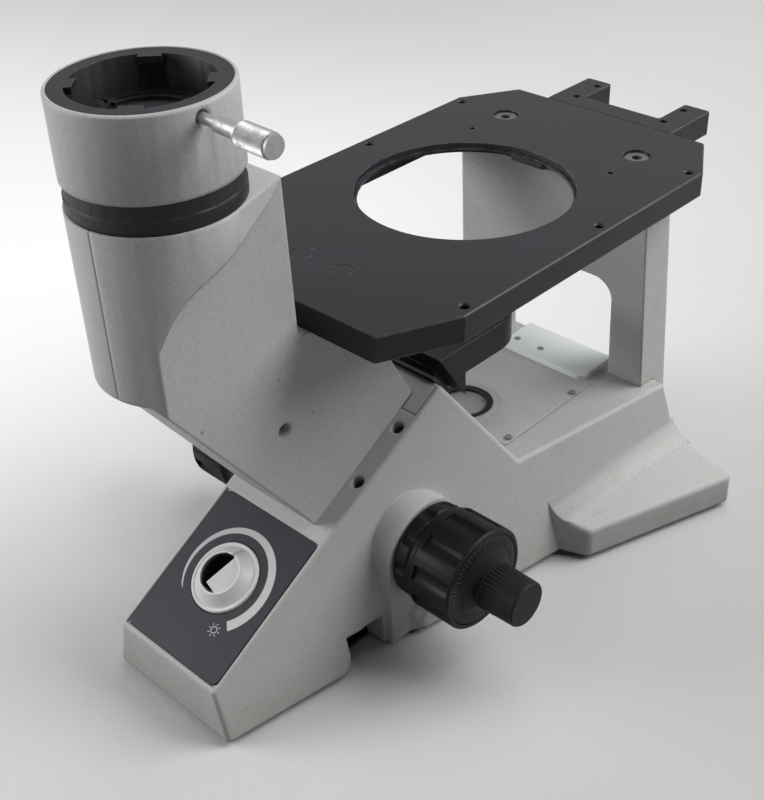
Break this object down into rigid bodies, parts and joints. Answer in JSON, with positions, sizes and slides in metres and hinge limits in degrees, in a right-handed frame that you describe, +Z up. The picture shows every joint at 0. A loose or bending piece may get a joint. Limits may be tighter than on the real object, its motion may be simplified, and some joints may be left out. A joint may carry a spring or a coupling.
{
  "type": "inverted microscope stand",
  "caption": "Inverted microscope stand: sloped cast base with lamp dial, forward arm with tube socket, large stage with round opening, focus knobs on both sides.",
  "frame": {"origin": "on the table, under the middle of the stand's bounding box", "axes": "+X to the user's right, +Y away from the user, +Z up"},
  "size_m": [0.2364, 0.3756, 0.3022],
  "materials": {
    "body_paint": "fine-grained satin paint",
    "stage_paint": "satin anodised, worn",
    "dark_metal": "matte",
    "panel_film": "fine-grained print film",
    "dial_plastic": "satin",
    "knob_plastic": "fine-grained",
    "inner_plastic": "matte",
    "steel": "turned",
    "black_steel": "blackened",
    "brass": "turned",
    "plate_grey": "matte",
    "sheet": "matte",
    "glass": "coated",
    "mirror": "front coated",
    "rubber": "matte"
  },
  "bodies": {
    "stand": {"base_casting": "body_paint", "panel_plate": "panel_film", "dial_control": "inner_plastic", "arm_casting": "body_paint", "arm_front_cover": "body_paint", "arm_spacer": "dark_metal", "arm_bolts": "black_steel", "arm_mirror": "mirror", "arm_mirror_block": "dark_metal", "tube_ring": "body_paint", "tube_flange": "dark_metal", "tube_lens": "glass", "lens_retainer": "dark_metal", "ridge_cover": "body_paint", "carriage_seal": "dark_metal", "stage_plate": "stage_paint", "stage_bolts": "steel", "stage_plugs": "dark_metal", "stage_front_bolts": "black_steel", "rear_bracket": "dark_metal", "bracket_bolts": "black_steel", "portal": "body_paint", "deck_cover": "body_paint", "deck_screws": "black_steel", "rear_plate": "plate_grey", "rear_plate_screws": "black_steel", "light_port": "dark_metal", "port_glass": "glass", "mirror_block": "dark_metal", "base_mirror": "mirror", "bottom_cover": "sheet", "bottom_screws": "steel", "base_feet": "rubber", "power_inlet": "inner_plastic", "focus_bushings": "brass", "focus_guide": "steel"},
    "carriage": {"nosepiece_carriage": "dark_metal", "focus_slide": "steel", "focus_rack": "brass"},
    "coarse_drive": {"coarse_knob_right": "knob_plastic", "coarse_knob_left": "knob_plastic", "coarse_shaft": "steel"},
    "fine_drive": {"fine_knob_right": "knob_plastic", "fine_knob_left": "knob_plastic", "fine_shaft": "steel"},
    "tension": {"tension_ring": "knob_plastic"},
    "dial": {"light_dial": "dial_plastic"},
    "clamp_screw": {"thumb_screw": "steel"}
  },
  "joints": [
    {"name": "carriage_slide", "type": "slide", "parent": "stand", "child": "carriage", "axis": [0, 0, 1], "range_m": [-0.006, 0.01]},
    {"name": "coarse_turn", "type": "hinge", "parent": "stand", "child": "coarse_drive", "pos_m": [0, -0.0637, 0.0527], "axis": [1, 0, 0], "range_deg": [-60, 100]},
    {"name": "fine_turn", "type": "hinge", "parent": "stand", "child": "fine_drive", "pos_m": [0, -0.0637, 0.0527], "axis": [1, 0, 0], "continuous": true},
    {"name": "tension_turn", "type": "hinge", "parent": "stand", "child": "tension", "pos_m": [0, -0.0637, 0.0527], "axis": [1, 0, 0], "range_deg": [-45, 45]},
    {"name": "dial_turn", "type": "hinge", "parent": "stand", "child": "dial", "pos_m": [0, -0.1449, 0.05394], "axis": [0, -0.5015, 0.8652], "range_deg": [-180, 90]},
    {"name": "clamp_turn", "type": "hinge", "parent": "stand", "child": "clamp_screw", "pos_m": [0, -0.1518, 0.297], "axis": [0.9994, -0.0349, 0], "range_deg": [-360, 45]}
  ],
  "couplings": [
    {"joint": "coarse_turn", "follows": "carriage_slide", "rad_per_m": 170.74}
  ]
}
